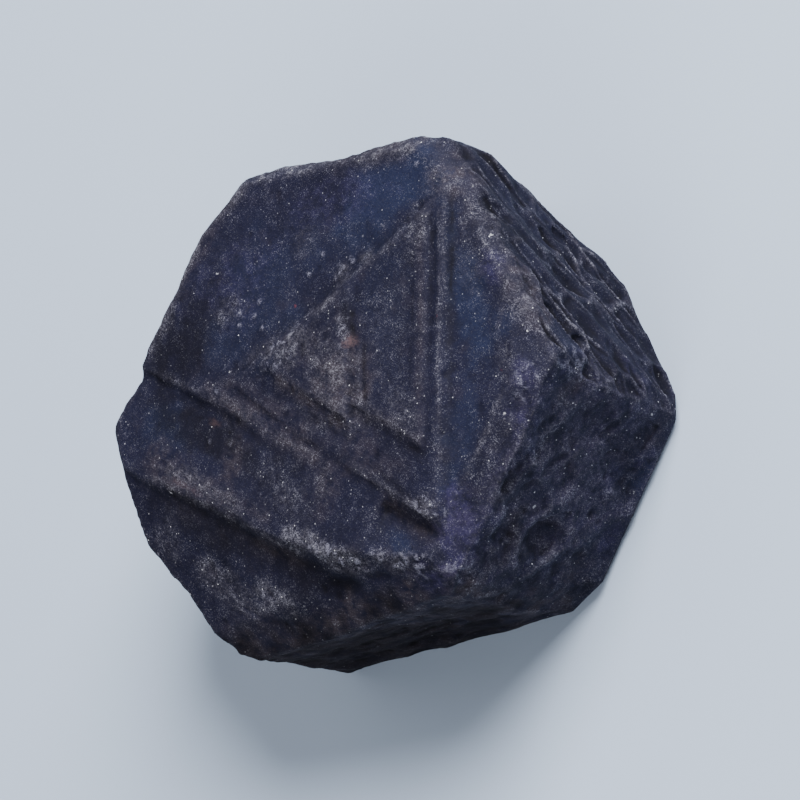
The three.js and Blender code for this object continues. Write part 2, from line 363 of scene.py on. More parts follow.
# straight marks on the end face, from one point to another: how wide each one is, how far it
# rises (below zero: a groove), and how much dust, brown stain or painted shadow lies along it
faceLines = [
    # upper left edges of the three triangles, the innermost first
    {"from": (-9.4, 5.0), "to": (4.2, 10.4), "width": 0.8, "rise": 0.04, "dust": 0.7, "brown": 0.3},
    {"from": (3.6, 11.4), "to": (10.6, 14.6), "width": 0.5, "rise": 0.05, "dust": 0.9},
    {"from": (10.6, 14.6), "to": (17.5, 19.8), "width": 0.8, "rise": 0.03, "dust": 0.7},
    {"from": (-15.5, 1.8), "to": (-9.0, 5.2), "width": 0.6, "rise": 0.02, "dust": 0.35},
    # right side of the innermost triangle
    {"from": (5.4, 9.0), "to": (6.4, 6.0), "width": 0.7, "rise": -0.1, "shadow": 0.6},
    {"from": (8.0, 4.4), "to": (8.5, -2.8), "width": 0.35, "rise": -0.06, "shadow": 0.4},
    {"from": (7.3, 4.0), "to": (7.7, -2.6), "width": 0.5, "rise": 0.05, "dust": 0.7},
    # bands and steps along the right side of the triangles
    {"from": (15.6, 16.4), "to": (16.2, -6.5), "width": 0.6, "rise": 0.01, "dust": 0.2, "brown": 0.6},
    {"from": (13.4, 13.0), "to": (13.6, 1.0), "width": 0.4, "rise": 0.02, "dust": 0.25},
    {"from": (14.6, 14.0), "to": (14.8, -3.0), "width": 0.25, "rise": -0.02, "shadow": 0.2},
    {"from": (17.0, 16.0), "to": (17.0, 8.0), "width": 0.35, "rise": -0.02, "shadow": 0.3},
    {"from": (17.9, 18.0), "to": (18.5, -9.0), "width": 0.22, "rise": 0.02, "dust": 0.5},
    {"from": (18.4, 18.6), "to": (18.8, 7.0), "width": 0.22, "rise": 0.02, "dust": 0.45},
    {"from": (19.0, 18.6), "to": (19.1, 9.0), "width": 0.3, "rise": -0.04, "shadow": 0.5},
    {"from": (19.1, 9.0), "to": (19.3, -2.5), "width": 0.35, "rise": 0, "shadow": 0.2},
    # the worn right edge of the strip beyond the triangles
    {"from": (21.6, -10.6), "to": (26.0, -2.1), "width": 0.4, "rise": 0.04, "dust": 0.8},
    {"from": (26.0, -2.1), "to": (25.2, 4.5), "width": 0.5, "rise": 0.02, "dust": 0.5},
    {"from": (25.2, 4.5), "to": (26.3, 10.0), "width": 0.5, "rise": 0.03, "dust": 0.7, "brown": 0.5},
    # lower edges with painted shadow below them, each with a worn dusty edge above it
    {"from": (0.0, -2.4), "to": (6.3, -5.5), "width": 0.6, "rise": -0.02, "shadow": 0.25},
    {"from": (-4.6, 2.2), "to": (5.6, -4.2), "width": 0.9, "rise": 0.05, "dust": 0.4, "brown": 0.9},
    {"from": (8.0, -3.4), "to": (16.6, -8.0), "width": 0.7, "rise": -0.02, "shadow": 0.3},
    {"from": (7.6, -2.2), "to": (16.2, -6.4), "width": 0.7, "rise": 0.04, "dust": 0.5, "brown": 0.6},
    {"from": (3.6, -6.4), "to": (7.0, -8.0), "width": 0.6, "rise": -0.03, "shadow": 0.3},
    {"from": (9.4, -8.7), "to": (16.0, -13.6), "width": 0.5, "rise": -0.06, "shadow": 0.35},
    {"from": (6.6, -8.4), "to": (17.0, -14.6), "width": 0.6, "rise": 0.06, "dust": 0.6},
    # the recess under the triangles' lower corner: its wall, stained brown with a little painted shade,
    # and the dusty edge above it
    {"from": (10.8, -12.6), "to": (17.6, -16.4), "width": 1.2, "rise": 0, "brown": 0.9, "shadow": 0.2},
    {"from": (14.0, -12.8), "to": (18.4, -15.0), "width": 0.6, "rise": 0.05, "dust": 1.0},
    # the worn edges of the upper ledge and of the lower ledge
    {"from": (-16.0, 2.2), "to": (1.5, -7.2), "width": 1.1, "rise": 0.06, "dust": 0.5, "brown": 0.9},
    {"from": (-27.0, 6.0), "to": (-16.0, 2.0), "width": 0.45, "rise": 0.04, "dust": 0.55},
    {"from": (-14.0, -0.5), "to": (-1.0, -8.0), "width": 1.1, "rise": 0, "shadow": 0.3},
    {"from": (-25.4, -6.4), "to": (-1.5, -17.0), "width": 0.4, "rise": 0.06, "dust": 0.85},
    {"from": (-25.6, -7.9), "to": (-3.0, -18.2), "width": 1.6, "rise": 0, "shadow": 0.4, "brown": 0.4},
    {"from": (-24.0, -5.3), "to": (-6.0, -12.6), "width": 0.9, "rise": 0.02, "brown": 0.8, "dust": 0.3},
]


# how the lines wander, break up and end
lineLook = {
    "upright": (0.25, 0.6),  # how far a place must face up to carry a line
    "heights": (19, 20.5),  # heights between which the lines fade in
    "wanderSizes": (3.1, 0.8),
    "wanderReaches": (0.14, 0.16),
    "gapSize": 1.6,
    "gapFade": (-0.8, 0.3),
    "reliefLeft": 0.3,  # the share of the relief, and of the marks, that is left in a gap
    "marksLeft": 0.4,
    "beyond": 1.5,  # how far a line runs on past its ends, and fades inside them
    "inside": 0.8,
}


def lineMarks(places, normals, seed):
    # the relief that the lines give the end face, and how strongly each kind of mark lies there
    onEndFace = easedStep(normals[:, 2], *lineLook["upright"])
    onEndFace *= easedStep(places[:, 2], *lineLook["heights"])
    wobble = addedNoise(places, lineLook["wanderSizes"], lineLook["wanderReaches"], seed)
    whole = easedStep(smoothNoise(places, lineLook["gapSize"], seed + 2), *lineLook["gapFade"])
    reliefShare = lineLook["reliefLeft"] + (1 - lineLook["reliefLeft"]) * whole
    marksShare = lineLook["marksLeft"] + (1 - lineLook["marksLeft"]) * whole
    beyond, inside = lineLook["beyond"], lineLook["inside"]
    relief = np.zeros(len(places))
    marks = {kind: np.zeros(len(places)) for kind in ("dust", "brown", "shadow")}
    for line in faceLines:
        start, end = np.array(line["from"]), np.array(line["to"])
        length = np.linalg.norm(end - start)
        along = (end - start) / length
        local = places[:, :2] - start
        run = local @ along
        wander = wobble * min(1.0, 2 * line["width"])  # less for thin lines
        aside = local @ np.array([-along[1], along[0]]) + wander
        fade = easedStep(run, -beyond, inside) * (1 - easedStep(run, length - inside, length + beyond))
        share = np.exp(-((aside / line["width"]) ** 2)) * fade * onEndFace
        relief += line["rise"] * share * reliefShare
        for kind, mark in marks.items():
            marks[kind] = np.maximum(mark, line.get(kind, 0) * share * marksShare)
    return relief, marks


# shallow cells on the side faces, meeting in thin ridges: the way the face looks, how the long
# axis of a cell slants up it, the cell's length, width and depth, the ridge's share of it,
# how far ridges are worn away in places, how much dust and painted highlight the ridges carry,
# and how much painted shade lies in the hollows
sideCells = [
    {"facing": 30, "slant": 36, "length": 7.4, "width": 2.1, "depth": 0.4, "ridge": 0.22,
     "lost": 0.7, "ridgeDustAndHighlight": 0.75, "paintedShade": 0.5},
    {"facing": 330, "slant": -38, "length": 6.4, "width": 4.8, "depth": 0.38, "ridge": 0.42,
     "lost": 0.7, "ridgeDustAndHighlight": 0.55, "paintedShade": 0.32},
    {"facing": 330, "slant": 40, "length": 2.6, "width": 1.3, "depth": 0.1, "ridge": 0.5,
     "lost": 0.8, "ridgeDustAndHighlight": 0.2, "paintedShade": 0.1},
    {"facing": 278, "slant": 5, "length": 9.0, "width": 1.3, "depth": 0.18, "ridge": 0.5,
     "lost": 0.8, "ridgeDustAndHighlight": 0.3, "paintedShade": 0.1},
    {"facing": 92.4, "slant": 50, "length": 5.2, "width": 2.4, "depth": 0.26, "ridge": 0.34,
     "lost": 0.8, "ridgeDustAndHighlight": 0.32, "paintedShade": 0.3},
    {"facing": 147, "slant": 42, "length": 5.6, "width": 2.6, "depth": 0.26, "ridge": 0.34,
     "lost": 0.8, "ridgeDustAndHighlight": 0.32, "paintedShade": 0.3},
    {"facing": 205, "slant": 12, "length": 7.0, "width": 3.2, "depth": 0.14, "ridge": 0.3,
     "lost": 0.8, "ridgeDustAndHighlight": 0.25, "paintedShade": 0.2},
]


# what all these cells share
cellLook = {
    "bendSize": 5.0,
    "bendReaches": (0.9, 0.6),  # along a cell and across it
    "scatter": 0.42,  # how far a cell's middle lies from its place in the grid
    "depths": (0.6, 0.4),  # mean depth, and how far it varies
    "wornSize": 3.6,
    "wornFade": (-0.3, 0.45),
    "faceFade": (0.72, 0.92),
}


def cellShares(places, broadNormals, look, seed):
    # how deep each point lies in its hollow, and how near it is to a ridge
    level = outward(look["facing"] + 90)
    slant = math.radians(look["slant"])
    side, up = places @ level, places[:, 2]
    bend = smoothNoise(places, cellLook["bendSize"], seed)
    bendAlong, bendAcross = cellLook["bendReaches"]
    along = (side * math.cos(slant) + up * math.sin(slant) + bendAlong * bend) / look["length"]
    across = (up * math.cos(slant) - side * math.sin(slant) - bendAcross * bend) / look["width"]
    scatter = cellLook["scatter"]
    meanDepth, varied = cellLook["depths"]
    home = np.stack([np.floor(along), np.floor(across), np.zeros(len(places))], axis=1)
    home = home.astype(np.int64)
    nearest = np.full(len(places), 9.0)  # farther than any middle can be
    second = nearest.copy()
    depth = np.zeros(len(places))
    for step in itertools.product((-1, 0, 1), repeat=2):
        cell = home + np.array([*step, 0])
        centreAlong = cell[:, 0] + 0.5 + scatter * cornerValue(cell, seed + 1)
        centreAcross = cell[:, 1] + 0.5 + scatter * cornerValue(cell, seed + 2)
        distance = np.hypot(along - centreAlong, across - centreAcross)
        closer = distance < nearest
        second = np.where(closer, nearest, np.minimum(second, distance))
        depth = np.where(closer, meanDepth + varied * cornerValue(cell, seed + 3), depth)
        nearest = np.where(closer, distance, nearest)
    floorShare = easedStep(second - nearest, 0, look["ridge"])
    worn = easedStep(smoothNoise(places, cellLook["wornSize"], seed + 4), *cellLook["wornFade"])
    floorShare += (1 - floorShare) * look["lost"] * worn
    onFace = onSide(broadNormals, look["facing"], cellLook["faceFade"])
    return depth * floorShare * onFace, (1 - floorShare) * onFace


# broad single hollows with a dusty lip on the lower right side face: middle, half width along
# the face, half height up it, depth, and how much painted shade lies on the floor of the hollow
sideHollows = {
    "facing": 330,
    "hollows": [
        {"at": (24, -12.3, 16.8), "size": (1.9, 3.1), "depth": 0.2, "paintedShade": 0.0},
        {"at": (22.2, -15.8, 12.4), "size": (2.3, 2.6), "depth": 0.22, "paintedShade": 0.15},
        {"at": (22.2, -15.8, 18.6), "size": (2.2, 1.9), "depth": 0.16, "paintedShade": 0.25},
        {"at": (27.4, -7.4, 6.4), "size": (2.6, 4), "depth": 0.2, "paintedShade": 0.15},
        {"at": (24.8, -10.8, 20.6), "size": (2.2, 1), "depth": 0.1, "paintedShade": 0.45},
    ],
    "raggedSizes": (1.9, 0.7),
    "raggedReaches": (0.3, 0.14),
    "wall": (0.6, 1.1),  # where the wall stands, in shares of the half size
    "lipAt": 1.15,
    "lipWidth": 0.16,
    "lipHeight": 0.08,
    "lipDust": 0.6,
    "gapSize": 1.7,  # of the breaks in the lip
    "gapFade": (-0.5, 0.5),
    "faceFade": (0.6, 0.85),
}


def hollowShares(places, broadNormals, hollow, seed):
    # how far each point lies inside a hollow, and how near it is to the lip round it
    look = sideHollows
    width, height = hollow["size"]
    local = places - np.array(hollow["at"])
    distance = np.hypot(local @ outward(look["facing"] + 90) / width, local[:, 2] / height)
    distance += addedNoise(places, look["raggedSizes"], look["raggedReaches"], seed)
    onFace = onSide(broadNormals, look["facing"], look["faceFade"])
    inside = (1 - easedStep(distance, *look["wall"])) * onFace
    whole = easedStep(smoothNoise(places, look["gapSize"], seed + 2), *look["gapFade"])
    lip = np.exp(-(((distance - look["lipAt"]) / look["lipWidth"]) ** 2)) * onFace * whole
    return inside, lip


def surfaceMarks(places, normals, broadNormals):
    # the relief of the lines, cells and hollows, and how strongly each kind of mark lies there
    seed = stoneShape["seed"]
    relief, marks = lineMarks(places, normals, seed + seedSteps["lines"])
    for number, hollow in enumerate(sideHollows["hollows"]):
        step = seedSteps["hollows"] + 3 * number
        inside, lip = hollowShares(places, broadNormals, hollow, seed + step)
        relief += sideHollows["lipHeight"] * lip - hollow["depth"] * inside
        marks["dust"] = np.maximum(marks["dust"], sideHollows["lipDust"] * lip)
        # painted shade on the floor of each hollow
        marks["shadow"] = np.maximum(marks["shadow"], hollow["paintedShade"] * inside)
    for number, look in enumerate(sideCells):
        step = seedSteps["cells"] + 10 * number
        deep, ridge = cellShares(places, broadNormals, look, seed + step)
        relief -= look["depth"] * deep
        # the ridges carry dust and a painted highlight, and the cell floors get painted shade
        marks["dust"] = np.maximum(marks["dust"], look["ridgeDustAndHighlight"] * ridge)
        marks["shadow"] = np.maximum(marks["shadow"], look["paintedShade"] * deep)
    return relief, marks


# small pits scattered over the surface
pits = {
    "count": 260,
    "radius": (0.35, 0.95),
    "stretch": (0.5, 1.0),  # below 1 the bowl is drawn out along Y
    "depth": 0.16,  # of the radius
    "wallPower": 1.5,  # higher for walls that ease in more gently at the rim
    "lowest": 3.0,  # height above which they lie
}


def scatterPits(places, normals):
    random = np.random.default_rng(stoneShape["seed"])
    tree = KDTree(len(places))
    for index, place in enumerate(places):
        tree.insert(place, index)
    tree.balance()
    for index in random.integers(0, len(places), pits["count"]):
        radius = random.uniform(*pits["radius"])
        stretch = random.uniform(*pits["stretch"])
        if places[index][2] < pits["lowest"]:
            continue
        near = [found[1] for found in tree.find_range(places[index], radius)]
        offset = np.linalg.norm((places[near] - places[index]) * (1, stretch, 1), axis=1) / radius
        bowl = np.clip(1 - offset * offset, 0, 1) ** pits["wallPower"]
        places[near] -= normals[near] * (pits["depth"] * radius * bowl)[:, None]


stoneShape = {
    "mergeReach": 0.001,  # corners closer than this are one corner
    "remeshSize": 0.26,
    "triangleLimit": 190000,
    "softRounds": 24,  # rounds of smoothing where the end face is worn soft
    "wanderSize": (6.0, 1.9),
    "wanderReach": (0.3, 0.1),
    "wanderUp": 0.3,  # share of the reach upward
    "waveSize": (7.0, 2.4, 0.9),
    "waveHeight": (0.12, 0.06, 0.028),
    "crumbSize": 0.6,
    "crumbHeight": 0.07,
    "crumbsAnywhere": 0.25,  # share of the crumbs where there is no dust
    "baseFade": (0.3, 3.0),  # heights between which the changes fade in above the base
    "edgeRounds": 5,
    "edgeWear": 0.45,
    "chipSize": 1.6,
    "chipDepth": 0.9,
    "crispFacing": 30,  # the side face whose ridges wear less
    "crispShare": 0.7,
    "seed": 11,
}

# where the end face is worn soft: middle, half size and any turn of each patch
softPatches = [
    {"at": (-12, -1.2, 24.4), "size": (17, 3.4, 6), "turn": -26, "strength": 0.9},
    {"at": (6, 12, 25.2), "size": (17, 3, 6), "turn": 30, "strength": 0.9},
    {"at": (17.8, 14, 25.2), "size": (3.6, 9, 6), "strength": 0.6},
    {"at": (17.8, -1, 25.2), "size": (3.6, 13, 6), "strength": 0.92},
    {"at": (-13.8, -12.4, 22.4), "size": (16, 2.4, 4), "turn": -24, "strength": 0.75},
    {"at": (-1.6, -0.2, 25.6), "size": (9, 1.8, 3), "turn": -30, "strength": 1.0},
    {"at": (12, -5.2, 25.4), "size": (6.5, 1.8, 3), "turn": -30, "strength": 1.0},
    {"at": (2, -20.6, 22), "size": (6.5, 3, 3), "strength": 1.0},
    {"at": (30.6, 0, 20.5), "size": (3.2, 4, 4), "strength": 1.0},
    {"at": (6, 2, 25.4), "size": (10, 9, 8), "strength": 0.5},
    {"at": (8, -7.5, 25), "size": (16, 4, 6), "turn": -30, "strength": 0.6},
    {"at": (14, -14.5, 24.6), "size": (6, 5, 6), "turn": -26, "strength": 1.0},
]


# where dust, brown stain, painted shade or a stronger colour lies: middle, half size and any turn
patches = {
    "dust": [
        # along the rim of the end face, from the left round to the top
        {"at": (-24, 9.5, 24), "size": (1.2, 4, 2.4), "turn": -30, "strength": 0.8},
        {"at": (-20, 16.5, 24.4), "size": (1.1, 6, 2.4), "turn": -36, "strength": 0.9},
        {"at": (-14, 23.4, 24.2), "size": (4.5, 1.6, 3), "turn": 35, "strength": 0.9},
        {"at": (-3.5, 25.9, 24.2), "size": (8.5, 1.3, 2), "turn": 3, "strength": 0.8},
        {"at": (10, 25.8, 24), "size": (7, 1.8, 2.4), "strength": 0.75},
        {"at": (17.6, 21.6, 23.8), "size": (2.6, 3.4, 2.4), "turn": 30, "strength": 0.6},
        # on the end face
        {"at": (-2.6, 5.6, 26), "size": (4.2, 2.2, 3), "turn": 28, "strength": 0.9},
        {"at": (-6.2, 5.2, 25.2), "size": (2, 1.2, 2), "turn": 30, "strength": 1.0},
        {"at": (4, 13, 24.9), "size": (1.9, 1.1, 2), "turn": 30, "strength": 1.0},
        {"at": (7.2, 14.2, 24.9), "size": (1.6, 0.9, 2), "turn": 10, "strength": 0.9},
        {"at": (5.2, 6.6, 26), "size": (0.8, 2.4, 2), "turn": 10, "strength": 0.65},
        {"at": (3.6, 2.6, 26), "size": (3.8, 4.6, 3), "strength": 0.58},
        {"at": (21.4, 13, 24.2), "size": (2, 5, 2), "turn": 12, "strength": 0.35},
        {"at": (6.5, -2.6, 25.6), "size": (3.2, 3, 3), "turn": -20, "strength": 0.65},
        {"at": (13.6, -3.6, 25.5), "size": (3.4, 2.4, 3), "turn": -30, "strength": 0.6},
        {"at": (11, 6, 25.5), "size": (4, 7, 3), "strength": 0.3},
        {"at": (14.6, 15.4, 25.4), "size": (3.2, 2.6, 3), "turn": 35, "strength": 0.6},
        {"at": (-13, 10.2, 24.8), "size": (2.6, 1.8, 1.6), "turn": 10, "strength": 0.7},
        {"at": (-2, 17, 24.8), "size": (2.6, 1.6, 1.6), "turn": 30, "strength": 0.4},
        {"at": (-11, -4.6, 23.5), "size": (5, 1.2, 2), "turn": -50, "strength": 0.4},
        {"at": (-6.2, -9.2, 23.5), "size": (4.6, 2.2, 2), "turn": -25, "strength": 0.5},
        {"at": (2, -10, 23.6), "size": (1.4, 4.4, 2), "strength": 0.45},
        {"at": (-4, -10, 23.6), "size": (5.6, 3.6, 2), "turn": -20, "strength": 0.6},
        {"at": (1.6, -3, 25.2), "size": (4, 1.6, 2), "turn": -30, "strength": 0.4},
        {"at": (-16, -8.6, 23.5), "size": (9.5, 1.5, 2), "turn": -25, "strength": 0.7},
        {"at": (2.5, -16.8, 23.5), "size": (6.6, 1.7, 1.8), "turn": -22, "strength": 1.15},
        {"at": (16.8, -13.6, 24.8), "size": (2.4, 1.3, 1.8), "turn": -30, "strength": 1.15},
        {"at": (12.6, -19, 23.4), "size": (4.6, 1.5, 1.8), "turn": -14, "strength": 0.95},
        # on the slope below the lower ledge
        {"at": (-15.5, -19, 19.6), "size": (6.5, 2.6, 3), "turn": -30, "strength": 0.7},
        {"at": (-7.5, -20.6, 20.2), "size": (4.6, 1.8, 2), "turn": -10, "strength": 0.9},
        {"at": (-23.5, -12.5, 20), "size": (3, 3.4, 4), "turn": -20, "strength": 0.45},
        # along the rim above the right side faces
        {"at": (23.4, 14.4, 23), "size": (1.3, 6.5, 2), "turn": 30, "strength": 0.6},
        {"at": (27.4, 7, 22.8), "size": (1.8, 4, 2.2), "turn": 25, "strength": 0.75},
        {"at": (30.2, 3, 22), "size": (1.8, 2.6, 2.4), "turn": 20, "strength": 0.55},
        {"at": (26.4, 0.6, 23.4), "size": (1.6, 3.2, 1.8), "strength": 0.55},
        {"at": (25, -6.8, 22.9), "size": (1.2, 4.6, 1.8), "turn": -30, "strength": 0.45},
        {"at": (31.4, 0.6, 15), "size": (1.6, 2.6, 7), "strength": 0.7},
        {"at": (27, -9.5, 12), "size": (5, 14, 13), "turn": -30, "strength": 0.4},
        {"at": (27.2, -7.6, 18.4), "size": (1.6, 3.6, 1), "turn": -30, "strength": 0.7},
        {"at": (24, -13.4, 13.6), "size": (1.6, 3.4, 1), "turn": -30, "strength": 0.6},
    ],
    "brown": [
        {"at": (4.6, 1.4, 26), "size": (4.6, 6.4, 3), "strength": 1.0},
        {"at": (0, 4.6, 26), "size": (5, 3.4, 3), "turn": 20, "strength": 0.5},
        {"at": (-6.5, -1.8, 24.6), "size": (11, 2.6, 2), "turn": -27, "strength": 0.7},
        {"at": (2, -9.5, 23.6), "size": (2.6, 4.8, 2), "strength": 0.6},
        {"at": (-18, -7.6, 23.4), "size": (10, 2.4, 2), "turn": -25, "strength": 0.75},
        {"at": (-11.5, -5.5, 23.5), "size": (2, 3.4, 2), "turn": -40, "strength": 0.8},
        {"at": (8, -7, 24.8), "size": (6, 2.6, 2), "turn": -25, "strength": 0.5},
        {"at": (28, 8, 22.4), "size": (2, 5, 2.4), "turn": 25, "strength": 0.9},
        {"at": (18.6, 22, 23.8), "size": (3.5, 3.4, 2.4), "turn": 30, "strength": 0.9},
        {"at": (8, 26, 24.2), "size": (8, 1.6, 2.4), "strength": 0.7},
        {"at": (-18, 18.5, 24.2), "size": (1.6, 8, 2.4), "turn": -36, "strength": 0.5},
        {"at": (-6, -15.9, 22.4), "size": (4.4, 1.2, 2), "turn": -25, "strength": 0.9},
        {"at": (15, -22.5, 19.5), "size": (6, 3, 2.4), "strength": 0.6},
        {"at": (0, -24.6, 12), "size": (26, 3.4, 14), "turn": 8, "strength": 1.2},
        {"at": (30.6, -2, 17), "size": (2.4, 2.4, 4), "strength": 0.5},
        {"at": (26, -10, 13), "size": (5, 14, 13), "turn": -30, "strength": 0.45},
    ],
    # painted shade: darkens the underside, the ground below the ledges, pits and other places where shade
    # falls
    "shadow": [
        {"at": (-3, -25, 10), "size": (26, 3.4, 13), "turn": 8, "strength": 0.8},
        {"at": (0.8, -19.6, 21.6), "size": (6.5, 3.2, 2.8), "turn": -8, "strength": 0.45},
        {"at": (-17, -2.4, 24), "size": (11, 2.8, 3), "turn": -27, "strength": 0.6},
        {"at": (-16, -13, 22.6), "size": (10, 2.2, 3.4), "turn": -27, "strength": 0.5},
        {"at": (-4.5, -17.2, 22.4), "size": (4.6, 2, 2.4), "turn": -20, "strength": 0.4},
        {"at": (24.4, -9, 19.5), "size": (2, 2.4, 1.6), "turn": -30, "strength": 0.5},
        {"at": (22, -14.5, 17), "size": (2, 3, 2.2), "turn": -30, "strength": 0.5},
        {"at": (27.6, -8, 13), "size": (2.6, 3.4, 3), "turn": -30, "strength": 0.2},
        {"at": (23.5, 17, 20.5), "size": (3, 5, 2), "turn": 30, "strength": 0.4},
        {"at": (30, -2.6, 18.5), "size": (1.6, 2.2, 2), "turn": -30, "strength": 0.2},
        {"at": (-18.5, 9, 24.8), "size": (4, 7, 2), "turn": -36, "strength": 0.6},
    ],
    "blue": [
        {"at": (21.6, 6.5, 24), "size": (2.4, 9.5, 2), "turn": 12, "strength": 0.7},
        {"at": (20.9, -6.5, 24.1), "size": (2.2, 6.5, 2), "turn": -18, "strength": 0.45},
        {"at": (10.6, 21, 24.8), "size": (8.5, 4.6, 2), "turn": 24, "strength": 0.75},
        {"at": (11, 9, 25.5), "size": (3.4, 7, 2), "strength": 0.15},
        {"at": (-8, 12, 24.8), "size": (10, 7, 2), "turn": 30, "strength": 0.35},
        {"at": (-23.5, -1.2, 23.5), "size": (5, 2.8, 2), "turn": -25, "strength": 0.45},
        {"at": (13.2, -17.2, 23.2), "size": (2.4, 1.4, 2), "turn": -25, "strength": 0.6},
        {"at": (25.5, 5, 23.6), "size": (1.8, 2, 2), "strength": 0.5},
        {"at": (27, -9, 12), "size": (4, 12, 12), "turn": -30, "strength": 0.2},
        # painted glow: bluer where light shines through the lower right edge
        {"at": (27.5, -8.3, 1.5), "size": (2.5, 2.5, 3), "strength": 1.0},
    ],
    "crumbs": [
        {"at": (2.5, -16.8, 23.5), "size": (7, 1.3, 1.8), "turn": -22, "strength": 1.0},
        {"at": (16.8, -13.6, 24.8), "size": (2.2, 1.2, 1.8), "turn": -30, "strength": 1.0},
        {"at": (13, -18.8, 23.6), "size": (5.5, 1.2, 1.8), "turn": -12, "strength": 1.0},
        {"at": (18.8, -20.2, 21.8), "size": (2.2, 1.4, 1.8), "turn": -10, "strength": 0.55},
        {"at": (-8.5, -20.4, 20.2), "size": (4, 1.4, 2), "turn": -10, "strength": 0.7},
        {"at": (-14, 23.4, 24.2), "size": (4.5, 1.2, 3), "turn": 35, "strength": 0.3},
        {"at": (-4.8, 4.6, 25.6), "size": (3.4, 1.5, 2), "turn": 30, "strength": 0.9},
        {"at": (5.2, 13.6, 24.9), "size": (2.6, 0.8, 2), "turn": 24, "strength": 0.8},
        {"at": (5.4, 5.4, 26), "size": (0.9, 3, 2), "strength": 0.5},
        {"at": (28.6, -0.6, 22.8), "size": (1.8, 2.4, 1.8), "strength": 0.7},
        {"at": (31, 1, 19), "size": (1.6, 2.4, 3), "strength": 0.6},
    ],
    "violet": [
        {"at": (20.2, -14.6, 22.8), "size": (2.6, 5.2, 3), "turn": -6, "strength": 1.0},
        {"at": (17.6, -20.4, 22.6), "size": (2.6, 1.8, 1.8), "turn": -10, "strength": 0.9},
        {"at": (27, -9, 14), "size": (4, 14, 14), "turn": -30, "strength": 0.6},
        {"at": (16.5, -21, 21.9), "size": (4, 1.8, 2.4), "turn": -15, "strength": 0.7},
        {"at": (24.2, 10.2, 23.6), "size": (1.8, 2.2, 2), "strength": 0.6},
        {"at": (28.4, -0.6, 22.3), "size": (1.6, 2.4, 2.4), "strength": 0.6},
        {"at": (-13, 14, 24.8), "size": (7, 5, 2), "turn": 30, "strength": 0.3},
        {"at": (3, 21, 24.8), "size": (8, 3, 2), "turn": 5, "strength": 0.3},
    ],
    "rust": [
        {"at": (6.3, 4.9, 25.7), "size": (0.9, 0.7, 1.4), "strength": 0.9},
        {"at": (-14.9, -1.5, 24), "size": (0.9, 0.4, 1.4), "turn": -26, "strength": 0.8},
        {"at": (-18.6, -8.4, 23.5), "size": (3.4, 0.5, 1.4), "turn": -26, "strength": 0.5},
    ],
}


# loose crumbs: small ones crowd together in the patches above, and larger flakes lie alone
crumbShape = {
    "size": 0.5,
    "height": 0.12,
    "clumps": (0.1, 0.5),
    "upright": 0.5,  # how far a place must face up to carry a flake
    "lowest": 20,  # height above which flakes lie
    "flakeRadius": 0.36,
    "flakeCore": 0.144,  # radius of a flake's flat top
    "flakes": [
        (-11.2, 9.0), (-8.9, 9.7), (-11.2, 10.4), (-8.3, 11.2), (-7.6, 8.2), (1.0, 15.4), (-1.0, 13.4),
        (-12.2, -4.0), (14.2, 23.4), (-14.2, 2.0), (-15.6, -3.4), (5.5, 6.6),
    ],
}


def crumbShare(places, normals):
    seed = stoneShape["seed"] + seedSteps["clumps"]
    clumps = easedStep(smoothNoise(places, crumbShape["size"], seed), *crumbShape["clumps"])
    share = patchValue(places, patches["crumbs"], seed + 1) * clumps
    liesOpen = (normals[:, 2] > crumbShape["upright"]) * (places[:, 2] > crumbShape["lowest"])
    for flake in crumbShape["flakes"]:
        distance = np.hypot(places[:, 0] - flake[0], places[:, 1] - flake[1])
        lone = 1 - easedStep(distance, crumbShape["flakeCore"], crumbShape["flakeRadius"])
        share = np.maximum(share, lone * liesOpen)
    return share


def applyModifier(piece, kind, **settings):
    modifier = piece.modifiers.new(kind.lower(), kind)
    for name, value in settings.items():
        setattr(modifier, name, value)
    bpy.ops.object.modifier_apply(modifier=modifier.name)


def makeActive(piece):
    bpy.ops.object.select_all(action="DESELECT")
    piece.select_set(True)
    bpy.context.view_layer.objects.active = piece


def copyOfSolid(node):
    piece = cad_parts[node].copy()
    piece.data = piece.data.copy()
    piece.name = "sapphire_crystal"
    piece.parent = None
    for key in list(piece.keys()):
        del piece[key]
    bpy.context.scene.collection.objects.link(piece)
    piece.data.materials.clear()
    makeActive(piece)
    bpy.ops.object.mode_set(mode="EDIT")
    bpy.ops.mesh.select_all(action="SELECT")
    bpy.ops.mesh.remove_doubles(threshold=stoneShape["mergeReach"] * mm)
    bpy.ops.object.mode_set(mode="OBJECT")
    return piece


def soften(places, edges):
    # smooths the end face where it is worn soft
    seed = stoneShape["seed"] + seedSteps["soft"]
    soft = patchValue(places, softPatches, seed)[:, None]
    places += soft * (smoothed(places, edges, stoneShape["softRounds"]) - places)


def addWander(places, fade):
    # takes the edges off their straight lines and the faces off their planes
    seed = stoneShape["seed"]
    for size, reach in zip(stoneShape["wanderSize"], stoneShape["wanderReach"]):
        wander = [smoothNoise(places, size, seed + axis) for axis in range(2)]
        wander.append(stoneShape["wanderUp"] * smoothNoise(places, size, seed + 2))
        places += reach * fade * np.stack(wander, axis=1)


def addRelief(places, normals, broadNormals, fade):
    # lines, cells, hollows, waves and crumbs, each raised or sunk along the normals
    seed = stoneShape["seed"]
    relief, marks = surfaceMarks(places, normals, broadNormals)
    for number, size in enumerate(stoneShape["waveSize"]):
        wave = smoothNoise(places, size, seed + seedSteps["waves"] + number)
        relief += stoneShape["waveHeight"][number] * wave
    relief += crumbShape["height"] * crumbShare(places, normals)
    dusty = patchValue(places, patches["dust"], seed + seedSteps["patches"])
    dusty = np.maximum(marks["dust"], dusty)
    crumbs = smoothNoise(places, stoneShape["crumbSize"], seed + seedSteps["crumbs"])
    relief += stoneShape["crumbHeight"] * crumbs * (stoneShape["crumbsAnywhere"] + dusty)
    places += normals * relief[:, None] * fade


